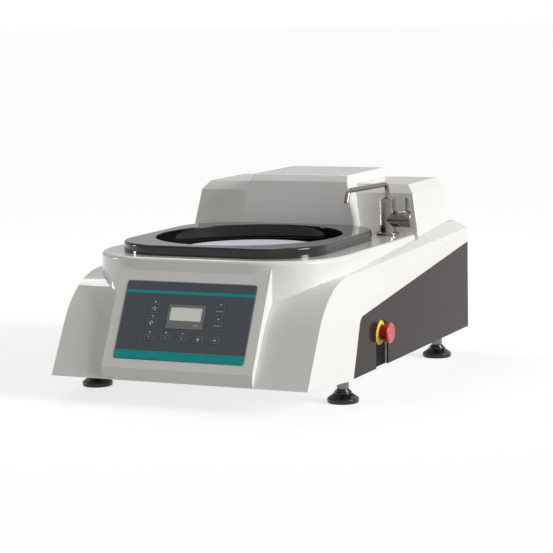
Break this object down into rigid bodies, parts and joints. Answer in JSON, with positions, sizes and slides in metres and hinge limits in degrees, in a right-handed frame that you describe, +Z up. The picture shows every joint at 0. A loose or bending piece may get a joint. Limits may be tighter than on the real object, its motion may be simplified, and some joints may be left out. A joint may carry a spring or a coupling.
{
  "type": "metallographic grinder-polisher",
  "caption": "Benchtop grinder-polisher: rotating platen in a splash basin, swivelling water spout, sloping key panel, side stop button and a raised rear cover over a belt drive.",
  "frame": {"origin": "on the supporting surface, under the middle of the overall box", "axes": "+X to the machine's right seen from its front, +Y to the rear, +Z up"},
  "size_m": [0.5164, 0.7034, 0.3275],
  "materials": {
    "body_paint": "satin gloss light grey paint",
    "panel_gloss": "glossy dark grey",
    "back_paint": "fine textured grey paint",
    "plate_steel": "zinc plated",
    "basin_black": "glossy black",
    "platen_alu": "turned",
    "mat_rubber": "smooth magnetic sheet",
    "abrasive": "fine matt grit",
    "machined_steel": "ground",
    "cast_grey": "as cast",
    "motor_paint": "satin blue grey paint",
    "belt_rubber": "ribbed rubber",
    "dark_plastic": "fine matt black",
    "board_green": "solder resist",
    "overlay_slate": "printed polyester film, satin",
    "bezel_grey": "satin grey",
    "screen_pale": "pale display window",
    "key_slate": "embossed film",
    "lamp_clear": "clear lens",
    "stop_yellow": "satin yellow",
    "stop_red": "glossy red",
    "tap_chrome": "polished dark chrome",
    "inlet_brass": "turned",
    "drain_grey": "moulded grey",
    "hose_clear": "soft hose",
    "foot_black": "glossy black"
  },
  "bodies": {
    "housing": {"body_shell": "body_paint", "rear_cover": "body_paint", "side_panel_right": "panel_gloss", "side_panel_left": "panel_gloss", "back_panel": "back_paint", "base_plate": "plate_steel", "splash_ring": "basin_black", "basin": "basin_black", "bearing_housing": "cast_grey", "spindle_bearings": "machined_steel", "bearing_cap": "machined_steel", "drive_belt": "belt_rubber", "motor_body": "motor_paint", "support_plate": "plate_steel", "frame_posts": "machined_steel", "inverter_box": "dark_plastic", "panel_overlay": "overlay_slate", "display_bezel": "bezel_grey", "display_window": "screen_pale", "control_board": "board_green", "indicator_lamps": "lamp_clear", "estop_bracket": "dark_plastic", "estop_plate": "stop_yellow", "estop_body": "dark_plastic", "faucet_column": "tap_chrome", "faucet_nut": "machined_steel", "water_inlet": "inlet_brass", "water_hose": "hose_clear", "drain_spigot": "drain_grey", "drain_hose": "hose_clear", "power_inlet": "dark_plastic", "switch_frame": "dark_plastic", "screws": "machined_steel"},
    "platen": {"platen": "platen_alu", "magnetic_mat": "mat_rubber", "abrasive_disc": "abrasive", "platen_hub": "machined_steel", "spindle": "machined_steel", "driven_pulley": "cast_grey"},
    "motor_rotor": {"motor_shaft": "machined_steel", "motor_pulley": "cast_grey"},
    "stop_stem": {"estop_stem": "machined_steel"},
    "stop_head": {"estop_head": "stop_red"},
    "spout": {"faucet_spout": "tap_chrome"},
    "tap_handle": {"faucet_handle": "tap_chrome"},
    "rocker": {"power_switch": "dark_plastic"},
    "key_forward": {"key_forward": "key_slate"},
    "key_reverse": {"key_reverse": "key_slate"},
    "key_speed_1": {"key_speed_1": "key_slate"},
    "key_speed_2": {"key_speed_2": "key_slate"},
    "key_speed_3": {"key_speed_3": "key_slate"},
    "key_plus": {"key_plus": "key_slate"},
    "key_minus": {"key_minus": "key_slate"},
    "key_start": {"key_start": "key_slate"},
    "key_stop": {"key_stop": "key_slate"},
    "foot_front_left": {"foot_front_left": "foot_black"},
    "foot_front_right": {"foot_front_right": "foot_black"},
    "foot_rear_left": {"foot_rear_left": "foot_black"},
    "foot_rear_right": {"foot_rear_right": "foot_black"}
  },
  "joints": [
    {"name": "platen_spin", "type": "hinge", "parent": "housing", "child": "platen", "pos_m": [-0.00825, -0.07225, 0.2], "axis": [0, 0, 1], "continuous": true},
    {"name": "motor_spin", "type": "hinge", "parent": "housing", "child": "motor_rotor", "pos_m": [-0.00825, 0.21775, 0.11], "axis": [0, 0, 1], "continuous": true},
    {"name": "spout_swivel", "type": "hinge", "parent": "housing", "child": "spout", "pos_m": [0.16475, 0.11875, 0.29], "axis": [0, 0, 1], "range_deg": [-80, 90]},
    {"name": "tap_turn", "type": "hinge", "parent": "housing", "child": "tap_handle", "pos_m": [0.20175, 0.11875, 0.256], "axis": [1, 0, 0], "range_deg": [0, 90]},
    {"name": "stop_press", "type": "slide", "parent": "housing", "child": "stop_stem", "axis": [-1, 0, 0], "range_m": [0, 0.004], "stiffness_N_per_m": 1500, "springref_m": -0.002},
    {"name": "stop_twist", "type": "hinge", "parent": "stop_stem", "child": "stop_head", "pos_m": [0.24175, -0.10825, 0.097], "axis": [-1, 0, 0], "range_deg": [0, 40], "stiffness_Nm_per_rad": 0.05, "springref_deg": -5.73},
    {"name": "rocker_tip", "type": "hinge", "parent": "housing", "child": "rocker", "pos_m": [0.01225, 0.31375, 0.092], "axis": [1, 0, 0], "range_deg": [0, 18]},
    {"name": "key_forward_press", "type": "slide", "parent": "housing", "child": "key_forward", "axis": [0, 0.8926, -0.4509], "range_m": [0, 0.0004], "stiffness_N_per_m": 400, "springref_m": -0.0005},
    {"name": "key_reverse_press", "type": "slide", "parent": "housing", "child": "key_reverse", "axis": [0, 0.8926, -0.4509], "range_m": [0, 0.0004], "stiffness_N_per_m": 400, "springref_m": -0.0005},
    {"name": "key_speed_1_press", "type": "slide", "parent": "housing", "child": "key_speed_1", "axis": [0, 0.8926, -0.4509], "range_m": [0, 0.0004], "stiffness_N_per_m": 400, "springref_m": -0.0005},
    {"name": "key_speed_2_press", "type": "slide", "parent": "housing", "child": "key_speed_2", "axis": [0, 0.8926, -0.4509], "range_m": [0, 0.0004], "stiffness_N_per_m": 400, "springref_m": -0.0005},
    {"name": "key_speed_3_press", "type": "slide", "parent": "housing", "child": "key_speed_3", "axis": [0, 0.8926, -0.4509], "range_m": [0, 0.0004], "stiffness_N_per_m": 400, "springref_m": -0.0005},
    {"name": "key_plus_press", "type": "slide", "parent": "housing", "child": "key_plus", "axis": [0, 0.8926, -0.4509], "range_m": [0, 0.0004], "stiffness_N_per_m": 400, "springref_m": -0.0005},
    {"name": "key_minus_press", "type": "slide", "parent": "housing", "child": "key_minus", "axis": [0, 0.8926, -0.4509], "range_m": [0, 0.0004], "stiffness_N_per_m": 400, "springref_m": -0.0005},
    {"name": "key_start_press", "type": "slide", "parent": "housing", "child": "key_start", "axis": [0, 0.8926, -0.4509], "range_m": [0, 0.0004], "stiffness_N_per_m": 400, "springref_m": -0.0005},
    {"name": "key_stop_press", "type": "slide", "parent": "housing", "child": "key_stop", "axis": [0, 0.8926, -0.4509], "range_m": [0, 0.0004], "stiffness_N_per_m": 400, "springref_m": -0.0005},
    {"name": "foot_front_left_screw", "type": "slide", "parent": "housing", "child": "foot_front_left", "axis": [0, 0, -1], "range_m": [0, 0.012]},
    {"name": "foot_front_right_screw", "type": "slide", "parent": "housing", "child": "foot_front_right", "axis": [0, 0, -1], "range_m": [0, 0.012]},
    {"name": "foot_rear_left_screw", "type": "slide", "parent": "housing", "child": "foot_rear_left", "axis": [0, 0, -1], "range_m": [0, 0.012]},
    {"name": "foot_rear_right_screw", "type": "slide", "parent": "housing", "child": "foot_rear_right", "axis": [0, 0, -1], "range_m": [0, 0.012]}
  ],
  "couplings": [
    {"joint": "motor_spin", "follows": "platen_spin", "ratio": 2.5}
  ]
}
